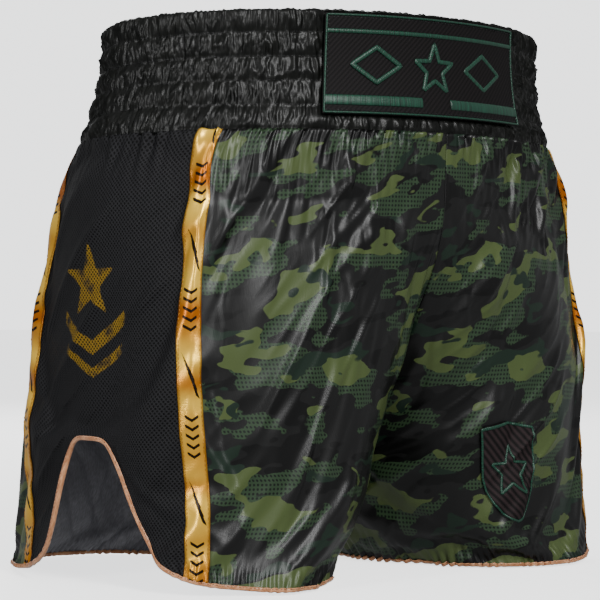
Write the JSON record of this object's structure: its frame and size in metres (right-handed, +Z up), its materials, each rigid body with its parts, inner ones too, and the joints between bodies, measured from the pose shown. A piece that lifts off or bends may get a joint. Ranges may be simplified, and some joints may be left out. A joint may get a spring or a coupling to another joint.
{
  "type": "boxing shorts",
  "caption": "Satin boxing shorts with a ruched elastic waistband, mesh side panels, ribbon trim and bound side slits; each leg swings at the hip.",
  "frame": {"origin": "on the ground below the middle of the shorts, which stand on their hems", "axes": "+Z up, -Y towards the front of the shorts, +X towards the wearer's left leg"},
  "size_m": [0.3932, 0.2538, 0.345],
  "materials": {
    "waist_satin": "gathered charcoal satin, soft sheen",
    "camo_satin": "printed polyester satin, soft sheen",
    "black_mesh": "open knitted polyester mesh, matte",
    "gold_ribbon": "printed satin ribbon, bright sheen",
    "copper_binding": "satin bias binding, soft sheen",
    "patch_twill": "woven twill, matte",
    "green_thread": "rayon embroidery, silky",
    "knitted_elastic": "knitted rubber-cored elastic, matte",
    "label_satin": "woven satin label, soft sheen"
  },
  "bodies": {
    "waist": {"waistband_casing": "waist_satin", "elastic_row_1": "knitted_elastic", "elastic_row_2": "knitted_elastic", "elastic_row_3": "knitted_elastic", "elastic_row_4": "knitted_elastic", "elastic_row_5": "knitted_elastic", "patch_backing": "patch_twill", "patch_border": "green_thread", "patch_upper_bar": "green_thread", "patch_star": "green_thread", "size_label": "label_satin", "patch_lower_bar_right": "green_thread", "patch_diamond_right": "green_thread", "patch_lower_bar_left": "green_thread", "patch_diamond_left": "green_thread", "right_front_panel_upper": "camo_satin", "right_side_panel_upper": "black_mesh", "right_back_panel_upper": "camo_satin", "right_front_ribbon_upper": "gold_ribbon", "right_rear_ribbon_upper": "gold_ribbon", "left_front_panel_upper": "camo_satin", "left_side_panel_upper": "black_mesh", "left_back_panel_upper": "camo_satin", "left_front_ribbon_upper": "gold_ribbon", "left_rear_ribbon_upper": "gold_ribbon"},
    "right_leg": {"right_front_panel_lower": "camo_satin", "right_side_panel_lower": "black_mesh", "right_back_panel_lower": "camo_satin", "right_front_ribbon_lower": "gold_ribbon", "right_rear_ribbon_lower": "gold_ribbon", "right_hem_binding": "copper_binding"},
    "left_leg": {"left_front_panel_lower": "camo_satin", "left_side_panel_lower": "black_mesh", "left_back_panel_lower": "camo_satin", "left_front_ribbon_lower": "gold_ribbon", "left_rear_ribbon_lower": "gold_ribbon", "left_hem_binding": "copper_binding", "left_leg_shield": "patch_twill", "left_leg_star": "green_thread"}
  },
  "joints": [
    {"name": "right_hip_flex", "type": "hinge", "parent": "waist", "child": "right_leg", "pos_m": [-0.1, 0, 0.225], "axis": [-1, 0, 0], "range_deg": [-12, 30], "stiffness_Nm_per_rad": 0.4},
    {"name": "left_hip_flex", "type": "hinge", "parent": "waist", "child": "left_leg", "pos_m": [0.1, 0, 0.225], "axis": [-1, 0, 0], "range_deg": [-12, 30], "stiffness_Nm_per_rad": 0.4}
  ]
}
